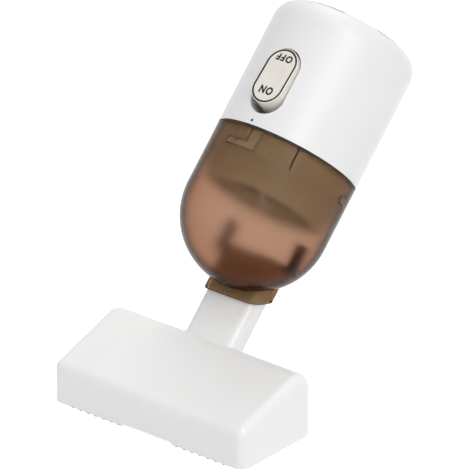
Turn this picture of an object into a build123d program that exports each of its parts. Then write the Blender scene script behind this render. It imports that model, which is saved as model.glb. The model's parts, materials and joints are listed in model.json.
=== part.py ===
from build123d import *
import os
from math import cos, degrees, radians, sin, sqrt, tan

os.makedirs("parts", exist_ok=True)

# Handheld mini vacuum cleaner: a capsule body that leans back on a wide brush head.
# Sizes are in millimetres. The floor is z = 0, the brush head runs along X, and the body
# leans towards +Y. Heights on the body are counted along its own axis from the seam
# between the white housing and the brown dust cup.

# Capsule body
lean = 45.0  # body axis away from the vertical, degrees
body_dia = 62.0
housing_height = 59.0
housing_wall = 2.2
crown_round = 9.5
cup_straight = 27.5
cup_wall = 2.2
seal_thickness = 0.6
seal_recess = 0.3
slip = 0.05  # gap between flat faces that slide on each other
seat = 0.1  # gap round a piece that is fixed in a pocket
loose = 0.3  # gap between round walls that turn inside each other

# Exhaust slots round the crown's edge
vent_count = 5
vent_arc = 34.0
vent_turn = 4.0  # first slot from the switch's centre line, degrees
vent_width = 2.6
vent_inset = 4.8  # outer edge of the slots in from the body's side
vent_depth = 6.0

# Oval rocker switch
switch_height = 20.5
recess_drop = 0.4  # middle of the opening below the pivot
recess_length = 29.4
recess_width = 15.7
rocker_length = 25.4
rocker_width = 14.7
rocker_proud = 1.9
rocker_hub_drop = 3.5  # pivot below the skirt's edge
rocker_rest_tilt = 5.0  # degrees, OFF end pressed in
rocker_edge = 0.25
ring_inset = 0.3
ring_width = 0.8
ring_depth = 0.3
dish_dia = 10.4
dish_depth = 0.45
pin_dia = 2.0
hub_wall = 1.6
hub_width = 11.0
running = 0.05  # radial clearance of a shaft or pin that turns
well_wall = 1.1
well_floor_thickness = 1.4
well_plate_width = 22.0
contact_width = 6.0
contact_thickness = 0.8
contact_spread = 10.0
contact_gap = 0.5
index_dia = 1.2
index_height = 1.7
index_side = 1.2  # off the switch's centre line
index_depth = 0.6

# Bayonet between collar and cup
skirt_depth = 10.5
collar_wall = 2.0
lip_depth = 2.0  # skirt below the intake plate
lug_count = 3
lug_angle = -15.0  # from the switch's centre line, degrees
lug_width = 4.0
lug_height = 2.2
lug_reach = 1.2
lug_drop = 8.2
twist = 20.0
mark_angle = 42.0
mark_width = 0.9
mark_length = 9.0
mark_depth = 0.8

# Fan chamber, from the intake plate upwards
intake_thickness = 1.5
intake_dia = 20.0
fan_gap = 1.4
blade_height = 5.3
blade_count = 10
blade_thickness = 1.2
blade_sweep = 42.0
fan_post_gap = 1.2  # fan's rim to the screw posts
fan_eye_dia = 15.0
fan_hub_dia = 8.0
fan_disc = 1.1
motor_plate_thickness = 2.0
exhaust_count = 6
exhaust_arc = 36.0
exhaust_width = 4.5
exhaust_inset = 5.8  # in from the screws' circle

# Screws
screw_count = 3
screw_inset = 4.0  # in from the housing's bore
screw_dia = 2.2
screw_head_dia = 4.2
screw_head = 1.0
screw_bite = 10.0
boss_dia = 6.0
boss_height = 12.0
post_dia = 5.2

# Motor
motor_dia = 24.4
motor_length = 27.0
motor_wall = 1.0
motor_front_gap = 3.9  # motor can to the switch well's plate
motor_boss_dia = 10.0
end_cap_thickness = 2.5
end_boss_dia = 8.0
end_boss_height = 2.5
shaft_dia = 2.0
shaft_tail = 1.0
bushing_dia = 5.6
bushing_length = 3.2
magnet_thickness = 1.9
magnet_arc = 120.0
magnet_length = 16.0
air_gap = 0.7
armature_length = 12.0
armature_slot = 2.4
armature_core_dia = 7.0
commutator_dia = 6.0
commutator_length = 3.0
terminal_width = 2.6
terminal_thickness = 0.6
terminal_height = 4.0
terminal_spread = 7.0
motor_screw_spread = 8.0
motor_screw_length = 3.6

# Battery and board
battery_boss_gap = 0.6  # battery's back to the rear boss
battery_side_gap = 2.83  # battery's back corners to the housing's bore
battery_length = 33.0
battery_round = 1.2
battery_gap = 1.0
cradle_wall = 1.2
cradle_height = 15.0
board_width = 20.0
board_length = 17.0
board_thickness = 1.2
board_drop = 0.5
port_width = 8.94
port_height = 3.26
port_depth = 7.0
port_wall = 0.3
port_inset = 0.5
port_margin = 0.25
tongue_width = 6.7
tongue_thickness = 0.7
board_screw_spread = 8.0
board_screw_rise = 3.0
board_screw_length = 2.4
chip_width = 5.0
chip_length = 4.0
chip_thickness = 1.5
coil_size = 4.0
coil_thickness = 1.9
component_rise = 7.0
lead_dia = 1.2
lead_bend = 3.0

# Filter
filter_wall = 1.5
filter_taper = 1.8  # frame's foot in from its spigot
filter_depth = 13.5
filter_floor = 1.5
filter_rim = 3.0  # floor left round its openings
filter_hub_dia = 7.0
filter_spoke_count = 6
filter_spoke_width = 2.0
pleat_count = 14
pleat_height = 7.0
media_rise = 2.4  # paper thickness along the axis

# Inlet duct
duct_inset = 14.8  # duct's middle in from the cup's bore, at the back
duct_wall = 1.2
duct_round = 5.0
duct_reach = 61.3  # front lip below the seam
duct_slant = 29.5  # lip cut, degrees
duct_top = 39.9  # below the seam
duct_shoulder = 1.5
post_spread = 34.5  # between the middles of the two posts beside the duct's mouth
post_width = 3.0
post_depth = 5.0
post_height = 9.9
post_forward = 1.2  # in front of the duct's middle
arm_thickness = 2.0
socket_gap = 0.25
stop_gap = 0.2

# Brush head
tube_width = 26.0
tube_thickness = 10.5
tube_round = 4.0
tube_wall = 1.8
tube_exposed = 19.3
tube_foot_inset = 2.5  # tube axis in from the back wall
tube_foot_height = 25.1
tube_blend = 1.2
tube_root = 8.0  # tube buried in the hood before the hood is hollowed
head_length = 100.0
head_depth = 44.0
head_front_height = 16.9
head_slope = 17.7
head_wall = 1.8
head_round = 4.2
head_front_round = 4.6
head_roof_back_round = 7.5
rim_lift = 1.05  # middle of the front and back edges above the rest
rim_gap = 26.6  # length of that raised middle
rim_ramp = 1.2  # length of the ramp at each end of it

# Brushes
bristle_reach = 0.4  # below the hood's edge
bristle_size = 0.36
tuft_count = 7
tuft_pitch = 4.06
tuft_columns = 4
tuft_rows = 4
strand_pitch_x = 0.8
strand_pitch_y = 0.62
brush_width = 3.0
brush_height = 4.0
brush_lift = 0.6
brush_inset = 22.8  # middle of each brush in from the head's end
brush_end = 0.6
rib_thickness = 1.2
rib_height = 7.0
rib_root = 0.8
stop_spread = 8.0

# Sizes that follow from the ones above
body_r = body_dia / 2
housing_bore_r = body_r - housing_wall
cup_bore_r = body_r - cup_wall
collar_r = min(housing_bore_r, cup_bore_r) - loose
collar_bore_r = collar_r - collar_wall
cup_rim = -(seal_thickness + slip)
dome_bottom = -(cup_straight + body_r)
collar_bottom = -skirt_depth
intake_bottom = collar_bottom + lip_depth
intake_top = intake_bottom + intake_thickness
blade_bottom = intake_top + fan_gap
disc_bottom = blade_bottom + blade_height
disc_top = disc_bottom + fan_disc
plate_bottom = disc_top + fan_gap
plate_top = plate_bottom + motor_plate_thickness
crown_inside = housing_height - housing_wall
motor_top = plate_top + motor_length
motor_r = motor_dia / 2
hub_r = pin_dia / 2 + hub_wall
well_back = motor_r + motor_front_gap  # in front of the body axis
well_floor = well_back + well_floor_thickness
pivot_depth = well_floor + loose + hub_r
rocker_pivot_depth = body_r + rocker_proud - pivot_depth  # pivot below the rocker's face
rocker_skirt = rocker_pivot_depth - rocker_hub_drop
board_back = well_back - board_thickness
screw_circle_r = housing_bore_r - screw_inset
fan_r = screw_circle_r - post_dia / 2 - fan_post_gap
exhaust_radius = screw_circle_r - exhaust_inset
battery_front = motor_r + battery_gap
battery_back = screw_circle_r - boss_dia / 2 - battery_boss_gap
battery_thickness = battery_back - battery_front
battery_width = 2 * sqrt((housing_bore_r - battery_side_gap) ** 2 - battery_back**2)
brush_middle = head_length / 2 - brush_inset
duct_offset = cup_bore_r - duct_inset  # behind the body axis
duct_width = tube_width + 2 * (socket_gap + duct_wall)
duct_thickness = tube_thickness + 2 * (socket_gap + duct_wall)
shoulder = -(duct_top + duct_shoulder)
tube_end = shoulder - stop_gap
tube_bore_width = tube_width - 2 * tube_wall
tube_bore_thickness = tube_thickness - 2 * tube_wall
tube_bore_round = tube_round - tube_wall
rim_height = bristle_reach
recess_height = switch_height - recess_drop
front_angle = -90.0  # the switch's side, counted in the body's cross-section

# Where the body stands over the brush head
lean_sin = sin(radians(lean))
lean_cos = cos(radians(lean))
axis_dir = Vector(0, lean_sin, lean_cos)
behind_dir = Vector(0, lean_cos, -lean_sin)
tube_run = tube_exposed + duct_reach
foot_from_head = head_depth / 2 - tube_foot_inset
seam_from_head = foot_from_head + tube_run * lean_sin - duct_offset * lean_cos
crown_reach = (
    (housing_height - crown_round) * lean_sin
    + (body_r - crown_round) * lean_cos
    + crown_round
)
overall_depth = head_depth / 2 + seam_from_head + crown_reach
head_y = (head_depth - overall_depth) / 2
seam_centre = Vector(
    0,
    head_y + seam_from_head,
    tube_foot_height + tube_run * lean_cos + duct_offset * lean_sin,
)

# Working planes of the body: across its axis, facing the switch, and along its symmetry plane
body = Plane(origin=seam_centre, x_dir=(1, 0, 0), z_dir=axis_dir)
front = Plane(origin=seam_centre, x_dir=(1, 0, 0), z_dir=-behind_dir)
section = Plane(origin=seam_centre, x_dir=behind_dir, z_dir=(1, 0, 0))
body_axis = Axis(seam_centre, axis_dir)


def spoke(angle):
    """Plane through the body axis whose x points out at the given angle."""
    outward = Vector(cos(radians(angle)), 0, 0) + behind_dir * sin(radians(angle))
    return Plane(origin=seam_centre, x_dir=outward, z_dir=outward.cross(axis_dir))


def at_angle(radius, angle):
    """Point of a body cross-section in polar form."""
    return (radius * cos(radians(angle)), radius * sin(radians(angle)))


def save(part, name):
    """Label a finished piece and write its file."""
    part.label = name
    export_step(part, f"parts/{name}.step")


# Motor housing: an upturned cup with a rounded crown, exhaust slots, the switch opening,
# the charging slot and three screw bosses on its inner wall
vent_radius = body_r - vent_inset - vent_width / 2
vent_start = front_angle + vent_turn - vent_arc / 2
vent_line = CenterArc((0, 0), vent_radius, vent_start, vent_arc, mode=Mode.PRIVATE)
port_line = -(board_back - port_height / 2)

with BuildPart() as motor_housing:
    with BuildSketch(front) as outer_profile:
        Rectangle(body_r, housing_height, align=(Align.MIN, Align.MIN))
        crown = outer_profile.vertices().group_by(Axis.X)[-1].sort_by(Axis.Y)[-1]
        fillet(crown, crown_round)
    revolve(axis=body_axis)
    with BuildSketch(front) as inner_profile:
        Rectangle(housing_bore_r, crown_inside, align=(Align.MIN, Align.MIN))
        crown = inner_profile.vertices().group_by(Axis.X)[-1].sort_by(Axis.Y)[-1]
        fillet(crown, crown_round - housing_wall)
    revolve(axis=body_axis, mode=Mode.SUBTRACT)
    with BuildSketch(body.offset(plate_top)):
        with PolarLocations(screw_circle_r, screw_count, start_angle=-front_angle):
            Circle(boss_dia / 2)
        with PolarLocations(
            (screw_circle_r + housing_bore_r) / 2, screw_count, start_angle=-front_angle
        ):
            Rectangle(housing_bore_r - screw_circle_r + housing_wall, boss_dia / 2)
    extrude(amount=boss_height)
    with BuildSketch(body.offset(plate_top)):
        with PolarLocations(screw_circle_r, screw_count, start_angle=-front_angle):
            Circle(screw_dia / 2)
    extrude(amount=screw_bite, mode=Mode.SUBTRACT)
    with BuildSketch(front):
        with Locations((0, recess_height)):
            SlotOverall(recess_length, recess_width, rotation=90)
    extrude(amount=body_dia, mode=Mode.SUBTRACT)
    with BuildSketch(front.offset(body_r - index_depth)):
        with Locations((-index_side, index_height)):
            Circle(index_dia / 2)
    extrude(amount=body_r, mode=Mode.SUBTRACT)
    with BuildSketch(body.offset(housing_height)):
        with PolarLocations(0, vent_count):
            SlotArc(vent_line, vent_width)
        with Locations((0, port_line)):
            SlotOverall(port_width + 2 * port_margin, port_height + 2 * port_margin)
    extrude(amount=-vent_depth, mode=Mode.SUBTRACT)
save(motor_housing.part, "motor_housing")

# Index dot: a dark plug in the housing that shows where the bayonet locks
with BuildPart() as index_dot:
    with BuildSketch(front.offset(body_r - index_depth)):
        with Locations((-index_side, index_height)):
            Circle(index_dia / 2)
    extrude(amount=index_depth)
    with BuildSketch(body):
        Circle(body_r)
    extrude(amount=housing_height, mode=Mode.INTERSECT)
save(index_dot.part, "index_dot")

# Room inside the housing, less the gap round what is fixed in it
with BuildPart() as housing_room:
    with BuildSketch(front) as room_profile:
        Rectangle(housing_bore_r - seat, crown_inside - seat, align=(Align.MIN, Align.MIN))
        crown = room_profile.vertices().group_by(Axis.X)[-1].sort_by(Axis.Y)[-1]
        fillet(crown, crown_round - housing_wall)
    revolve(axis=body_axis)

# Switch well: the oval pocket behind the switch opening, with the back plate that carries
# the contacts below and the circuit board above
well_top = crown_inside - board_drop
well_bottom = recess_height - recess_length / 2 - well_wall

with BuildPart() as switch_well:
    with BuildSketch(front.offset(well_floor)):
        with Locations((0, recess_height)):
            SlotOverall(recess_length + 2 * well_wall, recess_width + 2 * well_wall, rotation=90)
    extrude(amount=body_r - well_floor)
    with BuildSketch(front.offset(well_floor)):
        with Locations((0, well_bottom)):
            Rectangle(well_plate_width, well_top - well_bottom, align=(Align.CENTER, Align.MIN))
    extrude(amount=-well_floor_thickness)
    add(housing_room.part, mode=Mode.INTERSECT)
    with BuildSketch(front.offset(well_floor)):
        with Locations((0, recess_height)):
            SlotOverall(recess_length, recess_width, rotation=90)
    extrude(amount=body_r, mode=Mode.SUBTRACT)
    with BuildSketch(section):
        with Locations((-pivot_depth, switch_height)):
            Circle(pin_dia / 2)
    extrude(amount=body_r, both=True, mode=Mode.SUBTRACT)
    board_bottom = well_top - board_length
    with BuildSketch(front.offset(well_back)):
        with Locations((0, board_bottom + board_screw_rise)):
            with GridLocations(2 * board_screw_spread, 1, 2, 1):
                Circle(screw_dia / 2)
    extrude(amount=well_floor_thickness, mode=Mode.SUBTRACT)
save(switch_well.part, "switch_well")

# Rocker pin: a steel pin across the well
with BuildPart() as rocker_pin:
    with BuildSketch(section):
        with Locations((-pivot_depth, switch_height)):
            Circle(pin_dia / 2)
    extrude(amount=recess_width / 2 + well_wall, both=True)
save(rocker_pin.part, "rocker_pin")

# Rocker: an oval button on a hub that turns on the pin, shown with its OFF end pressed in
pivot = seam_centre + axis_dir * switch_height - behind_dir * pivot_depth
face_dir = axis_dir * sin(radians(rocker_rest_tilt)) - behind_dir * cos(radians(rocker_rest_tilt))
rocker_plane = Plane(origin=pivot, x_dir=(1, 0, 0), z_dir=face_dir)
rocker_face = rocker_plane.offset(rocker_pivot_depth)
dish_r = (dish_dia**2 / 4 + dish_depth**2) / (2 * dish_depth)
ring_length = rocker_length - 2 * ring_inset
ring_height = rocker_width - 2 * ring_inset

with BuildPart() as switch_rocker:
    with BuildSketch(rocker_face):
        SlotOverall(rocker_length, rocker_width, rotation=90)
    extrude(amount=-rocker_skirt)
    chamfer(switch_rocker.faces().sort_by(Axis(pivot, face_dir))[-1].edges(), rocker_edge)
    with BuildSketch(rocker_plane):
        Rectangle(hub_width, 2 * hub_r)
    extrude(amount=rocker_pivot_depth - rocker_skirt)
    with BuildSketch(Plane(origin=pivot, x_dir=behind_dir, z_dir=(1, 0, 0))):
        Circle(hub_r)
    extrude(amount=hub_width / 2, both=True)
    with BuildSketch(Plane(origin=pivot, x_dir=behind_dir, z_dir=(1, 0, 0))):
        Circle(pin_dia / 2 + running)
    extrude(amount=hub_width, both=True, mode=Mode.SUBTRACT)
    with BuildSketch(rocker_face):
        SlotOverall(ring_length, ring_height, rotation=90)
        SlotOverall(
            ring_length - 2 * ring_width,
            ring_height - 2 * ring_width,
            rotation=90,
            mode=Mode.SUBTRACT,
        )
    extrude(amount=-ring_depth, mode=Mode.SUBTRACT)
    with Locations(rocker_face.offset(dish_r - dish_depth)):
        Sphere(dish_r, mode=Mode.SUBTRACT)
save(switch_rocker.part, "switch_rocker")

# Rocker ring: the dark line inlaid round the rocker's face
with BuildPart() as rocker_ring:
    with BuildSketch(rocker_face):
        SlotOverall(ring_length, ring_height, rotation=90)
        SlotOverall(
            ring_length - 2 * ring_width,
            ring_height - 2 * ring_width,
            rotation=90,
            mode=Mode.SUBTRACT,
        )
    extrude(amount=-ring_depth)
save(rocker_ring.part, "rocker_ring")

# Switch contacts: two brass blades on the well's floor, one below each end of the rocker
skirt_floor = pivot_depth + rocker_pivot_depth - rocker_skirt
end_dip = rocker_length / 2 * sin(radians(rocker_rest_tilt))
contact_height = skirt_floor - end_dip - contact_gap - well_floor

with BuildPart() as switch_contacts:
    with BuildSketch(front.offset(well_floor)):
        with Locations((0, switch_height)):
            with GridLocations(1, 2 * contact_spread, 1, 2):
                Rectangle(contact_width, contact_thickness)
    extrude(amount=contact_height)
save(switch_contacts.part, "switch_contacts")

# Circuit board: stands on the back of the well's plate, under the crown
with BuildPart() as circuit_board:
    with BuildSketch(front.offset(well_back)):
        with Locations((0, board_bottom)):
            Rectangle(board_width, board_length, align=(Align.CENTER, Align.MIN))
        with Locations((0, board_bottom + board_screw_rise)):
            with GridLocations(2 * board_screw_spread, 1, 2, 1):
                Circle(screw_dia / 2, mode=Mode.SUBTRACT)
    extrude(amount=-board_thickness)
    add(housing_room.part, mode=Mode.INTERSECT)
save(circuit_board.part, "circuit_board")

# Board components: the charging chip and a coil on the board's inner face
with BuildPart() as board_components:
    with BuildSketch(front.offset(board_back)):
        with Locations((chip_width, board_bottom + component_rise)):
            Rectangle(chip_width, chip_length)
    extrude(amount=-chip_thickness)
    with BuildSketch(front.offset(board_back)):
        with Locations((-chip_width, board_bottom + component_rise)):
            RectangleRounded(coil_size, coil_size, coil_size / 5)
    extrude(amount=-coil_thickness)
save(board_components.part, "board_components")

# Charging socket: a metal shell with a tongue, opening through the crown
port_top = housing_height - port_inset
port_inner_width = port_width - 2 * port_wall
port_inner_height = port_height - 2 * port_wall

with BuildPart() as charging_socket:
    with BuildSketch(body.offset(port_top)):
        with Locations((0, port_line)):
            SlotOverall(port_width, port_height)
    extrude(amount=-port_depth)
    with BuildSketch(body.offset(port_top)):
        with Locations((0, port_line)):
            SlotOverall(port_inner_width, port_inner_height)
    extrude(amount=port_wall - port_depth, mode=Mode.SUBTRACT)
    with BuildSketch(body.offset(port_top - port_depth)):
        with Locations((0, port_line)):
            Rectangle(tongue_width, tongue_thickness)
    extrude(amount=port_depth - 2 * port_wall)
save(charging_socket.part, "charging_socket")

# Board screws: two small screws through the board into the well's plate
with BuildPart() as board_screws:
    with BuildSketch(front.offset(board_back)):
        with Locations((0, board_bottom + board_screw_rise)):
            with GridLocations(2 * board_screw_spread, 1, 2, 1):
                Circle(screw_head_dia / 2)
    extrude(amount=-screw_head)
    with BuildSketch(front.offset(board_back)):
        with Locations((0, board_bottom + board_screw_rise)):
            with GridLocations(2 * board_screw_spread, 1, 2, 1):
                Circle(screw_dia / 2)
    extrude(amount=board_screw_length)
save(board_screws.part, "board_screws")

# Motor plate: the disc that carries the motor and lets the fan's air pass up round it
exhaust_line = CenterArc((0, 0), exhaust_radius, -exhaust_arc / 2, exhaust_arc, mode=Mode.PRIVATE)

with BuildPart() as motor_plate:
    with BuildSketch(body.offset(plate_bottom)):
        Circle(housing_bore_r - seat)
        Circle(motor_boss_dia / 2 + seat, mode=Mode.SUBTRACT)
        with PolarLocations(screw_circle_r, screw_count, start_angle=-front_angle):
            Circle(screw_dia / 2 + seat, mode=Mode.SUBTRACT)
        with GridLocations(2 * motor_screw_spread, 1, 2, 1):
            Circle(screw_dia / 2 + seat, mode=Mode.SUBTRACT)
        with PolarLocations(0, exhaust_count):
            SlotArc(exhaust_line, exhaust_width, mode=Mode.SUBTRACT)
    extrude(amount=motor_plate_thickness)
save(motor_plate.part, "motor_plate")

# Motor can: a drawn steel cup whose front boss passes through the motor plate
with BuildPart() as motor_can:
    with BuildSketch(body.offset(plate_top)):
        Circle(motor_r)
    extrude(amount=motor_length)
    with BuildSketch(body.offset(plate_top + motor_wall)):
        Circle(motor_r - motor_wall)
    extrude(amount=motor_length, mode=Mode.SUBTRACT)
    with BuildSketch(body.offset(plate_bottom)):
        Circle(motor_boss_dia / 2)
    extrude(amount=motor_plate_thickness)
    with BuildSketch(body.offset(plate_bottom)):
        Circle(bushing_dia / 2)
    extrude(amount=motor_plate_thickness + motor_wall, mode=Mode.SUBTRACT)
    with BuildSketch(body.offset(plate_top)):
        with GridLocations(2 * motor_screw_spread, 1, 2, 1):
            Circle(screw_dia / 2)
    extrude(amount=motor_wall, mode=Mode.SUBTRACT)
save(motor_can.part, "motor_can")

# Motor magnets: two curved magnets on the can's inner wall
magnet_r = motor_r - motor_wall
magnet_middle = plate_top + motor_length / 2

with BuildPart() as motor_magnets:
    for side in (0, 180):
        with BuildSketch(spoke(side - magnet_arc / 2)):
            with Locations((magnet_r - magnet_thickness / 2 - seat, magnet_middle)):
                Rectangle(magnet_thickness, magnet_length)
        revolve(axis=body_axis, revolution_arc=magnet_arc)
save(motor_magnets.part, "motor_magnets")

# Motor end cap: the plastic cap with the rear bearing's boss
with BuildPart() as motor_end_cap:
    with BuildSketch(body.offset(motor_top)):
        Circle(motor_r)
    extrude(amount=end_cap_thickness)
    with BuildSketch(body.offset(motor_top + end_cap_thickness)):
        Circle(end_boss_dia / 2)
    extrude(amount=end_boss_height)
    with BuildSketch(body.offset(motor_top)):
        Circle(bushing_dia / 2)
    extrude(amount=end_cap_thickness + end_boss_height, mode=Mode.SUBTRACT)
save(motor_end_cap.part, "motor_end_cap")

# Motor terminals: two brass tabs on the end cap
terminal_foot = motor_top + end_cap_thickness
with BuildPart() as motor_terminals:
    with BuildSketch(body.offset(terminal_foot)):
        with GridLocations(2 * terminal_spread, 1, 2, 1):
            Rectangle(terminal_width, terminal_thickness)
    extrude(amount=terminal_height)
save(motor_terminals.part, "motor_terminals")

# Bushings: sintered sleeves in the can's boss and in the end cap
front_bushing_foot = plate_bottom
rear_bushing_foot = motor_top + end_cap_thickness + end_boss_height - bushing_length
for name, foot in (("front_bushing", front_bushing_foot), ("rear_bushing", rear_bushing_foot)):
    with BuildPart() as bushing:
        with BuildSketch(body.offset(foot)):
            Circle(bushing_dia / 2)
            Circle(shaft_dia / 2 + running, mode=Mode.SUBTRACT)
        extrude(amount=bushing_length)
    save(bushing.part, name)

# Motor screws: two screws from the fan side into the can's front wall
with BuildPart() as motor_screws:
    with BuildSketch(body.offset(plate_bottom - screw_head)):
        with GridLocations(2 * motor_screw_spread, 1, 2, 1):
            Circle(screw_head_dia / 2)
    extrude(amount=screw_head)
    with BuildSketch(body.offset(plate_bottom)):
        with GridLocations(2 * motor_screw_spread, 1, 2, 1):
            Circle(screw_dia / 2)
    extrude(amount=motor_screw_length)
save(motor_screws.part, "motor_screws")

# Motor shaft: runs from the fan's hub to just past the rear bushing
shaft_bottom = blade_bottom
shaft_top = motor_top + end_cap_thickness + end_boss_height + shaft_tail
with BuildPart() as motor_shaft:
    with BuildSketch(body.offset(shaft_bottom)):
        Circle(shaft_dia / 2)
    extrude(amount=shaft_top - shaft_bottom)
save(motor_shaft.part, "motor_shaft")

# Armature core: a three-pole stack on the shaft, between the magnets
armature_r = magnet_r - magnet_thickness - seat - air_gap
armature_foot = magnet_middle - armature_length / 2
pole_count = 3
with BuildPart() as armature_core:
    with BuildSketch(body.offset(armature_foot)):
        Circle(armature_r)
        with PolarLocations((armature_r + armature_core_dia / 2) / 2, pole_count):
            Rectangle(armature_r, armature_slot, mode=Mode.SUBTRACT)
        Circle(armature_core_dia / 2)
        Circle(shaft_dia / 2, mode=Mode.SUBTRACT)
    extrude(amount=armature_length)
save(armature_core.part, "armature_core")

# Commutator: the copper drum between the armature and the end cap
commutator_foot = armature_foot + armature_length
with BuildPart() as commutator:
    with BuildSketch(body.offset(commutator_foot)):
        Circle(commutator_dia / 2)
        Circle(shaft_dia / 2, mode=Mode.SUBTRACT)
    extrude(amount=commutator_length)
save(commutator.part, "commutator")

# Fan impeller: backward-curved blades under a disc, pressed on the shaft
blade_tip = fan_r - blade_thickness
blade_line = ThreePointArc(
    at_angle(fan_eye_dia / 2, 0),
    at_angle((fan_eye_dia / 2 + blade_tip) / 2, blade_sweep * 0.35),
    at_angle(blade_tip, blade_sweep),
    mode=Mode.PRIVATE,
)
with BuildPart() as fan_impeller:
    with BuildSketch(body.offset(disc_bottom)):
        Circle(fan_r)
    extrude(amount=fan_disc)
    with BuildSketch(body.offset(blade_bottom)):
        with PolarLocations(0, blade_count):
            SlotArc(blade_line, blade_thickness)
        Circle(fan_hub_dia / 2)
    extrude(amount=blade_height)
    with BuildSketch(body.offset(blade_bottom)):
        Circle(shaft_dia / 2)
    extrude(amount=blade_height + fan_disc, mode=Mode.SUBTRACT)
save(fan_impeller.part, "fan_impeller")

# Battery cell and the cradle that holds it on the motor plate, behind the motor
battery_middle = battery_front + battery_thickness / 2
battery_foot = plate_top + cradle_wall
with BuildPart() as battery_cell:
    with BuildSketch(body.offset(battery_foot)):
        with Locations((0, battery_middle)):
            RectangleRounded(battery_width, battery_thickness, battery_round)
    extrude(amount=battery_length)
save(battery_cell.part, "battery_cell")

with BuildPart() as battery_cradle:
    with BuildSketch(body.offset(plate_top)):
        with Locations((0, battery_middle)):
            Rectangle(battery_width + 2 * (seat + cradle_wall), battery_thickness)
    extrude(amount=cradle_wall)
    with BuildSketch(body.offset(plate_top)):
        with Locations((0, battery_middle)):
            with GridLocations(battery_width + 2 * seat + cradle_wall, 1, 2, 1):
                Rectangle(cradle_wall, battery_thickness)
    extrude(amount=cradle_height)
save(battery_cradle.part, "battery_cradle")

# Leads: insulated wires from the battery and the motor to the board
battery_top = battery_foot + battery_length
terminal_top = terminal_foot + terminal_height
lead_rise = lead_bend + lead_dia
lead_end = -board_back


def lead(name, start, turn_height, end_x, end_height):
    """Wire that rises from its start, crosses over and ends square on the board."""
    x, y, z = start
    approach = lead_end + lead_bend + lead_dia
    route = [(x, y, z), (x, y, turn_height), (end_x, approach, end_height), (end_x, lead_end, end_height)]
    points = [body.from_local_coords(point) for point in route]
    with BuildPart() as wire:
        with BuildLine() as path:
            FilletPolyline(*points, radius=lead_bend)
        with BuildSketch(Plane(origin=path.line @ 0, z_dir=path.line % 0)):
            Circle(lead_dia / 2)
        sweep(path=path.line)
    save(wire.part, name)


lead_level = board_bottom + component_rise + chip_length
for name, x in (("motor_lead_red", terminal_spread), ("motor_lead_black", -terminal_spread)):
    lead(name, (x, 0, terminal_top), terminal_top + lead_rise, x / 2, lead_level)
for name, x in (("battery_lead_red", terminal_spread), ("battery_lead_black", -terminal_spread)):
    lead(name, (x, battery_middle, battery_top), battery_top + 2 * lead_rise, x, lead_level)

# Bayonet collar: the fan chamber's wall and intake plate in one, with a skirt and lugs that
# the cup locks on, and posts for the long screws
lug_arc = degrees(lug_width / collar_r)
with BuildPart() as bayonet_collar:
    with BuildSketch(body.offset(collar_bottom)):
        Circle(collar_r)
        Circle(collar_bore_r, mode=Mode.SUBTRACT)
    extrude(amount=plate_bottom - collar_bottom)
    with BuildSketch(body.offset(intake_bottom)):
        Circle(collar_bore_r + collar_wall / 2)
        Circle(intake_dia / 2, mode=Mode.SUBTRACT)
    extrude(amount=intake_thickness)
    with BuildSketch(body.offset(intake_top)):
        with PolarLocations(screw_circle_r, screw_count, start_angle=-front_angle):
            Circle(post_dia / 2)
    extrude(amount=plate_bottom - intake_top)
    with BuildSketch(body.offset(intake_bottom)):
        with PolarLocations(screw_circle_r, screw_count, start_angle=-front_angle):
            Circle(screw_dia / 2 + seat)
    extrude(amount=plate_bottom - intake_bottom, mode=Mode.SUBTRACT)
    with BuildSketch(body.offset(intake_bottom)):
        with PolarLocations(screw_circle_r, screw_count, start_angle=-front_angle):
            Circle(screw_head_dia / 2 + seat)
    extrude(amount=screw_head, mode=Mode.SUBTRACT)
    for turn in range(lug_count):
        lug_start = front_angle + lug_angle - lug_arc / 2 + turn * 360 / lug_count
        with BuildSketch(spoke(lug_start)):
            with Locations((collar_r, -lug_drop)):
                Rectangle(2 * lug_reach, lug_height)
        revolve(axis=body_axis, revolution_arc=lug_arc)
    with BuildSketch(spoke(front_angle + mark_angle)):
        with Locations((collar_r, cup_rim)):
            Rectangle(2 * mark_depth, mark_length, align=(Align.CENTER, Align.MAX))
    extrude(amount=mark_width / 2, both=True, mode=Mode.SUBTRACT)
save(bayonet_collar.part, "bayonet_collar")

# Lock mark: a dark line inlaid in the collar's skirt, flush with it
with BuildPart() as lock_mark:
    with BuildSketch(spoke(front_angle + mark_angle)):
        with Locations((collar_r, cup_rim)):
            Rectangle(2 * mark_depth, mark_length, align=(Align.CENTER, Align.MAX))
    extrude(amount=mark_width / 2, both=True)
    with BuildSketch(body):
        Circle(collar_r)
    extrude(amount=-skirt_depth, mode=Mode.INTERSECT)
save(lock_mark.part, "lock_mark")

# Collar screws: long screws that clamp the collar and the motor plate to the housing's bosses
with BuildPart() as collar_screws:
    with BuildSketch(body.offset(intake_bottom)):
        with PolarLocations(screw_circle_r, screw_count, start_angle=-front_angle):
            Circle(screw_head_dia / 2)
    extrude(amount=screw_head)
    with BuildSketch(body.offset(intake_bottom)):
        with PolarLocations(screw_circle_r, screw_count, start_angle=-front_angle):
            Circle(screw_dia / 2)
    extrude(amount=plate_top - intake_bottom + screw_bite - seat)
save(collar_screws.part, "collar_screws")

# Seal ring: the flat rubber ring between the housing and the cup's rim
with BuildPart() as seal_ring:
    with BuildSketch(body.offset(-seal_thickness)):
        Circle(body_r - seal_recess)
        Circle(collar_r + seat, mode=Mode.SUBTRACT)
    extrude(amount=seal_thickness)
save(seal_ring.part, "seal_ring")

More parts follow.
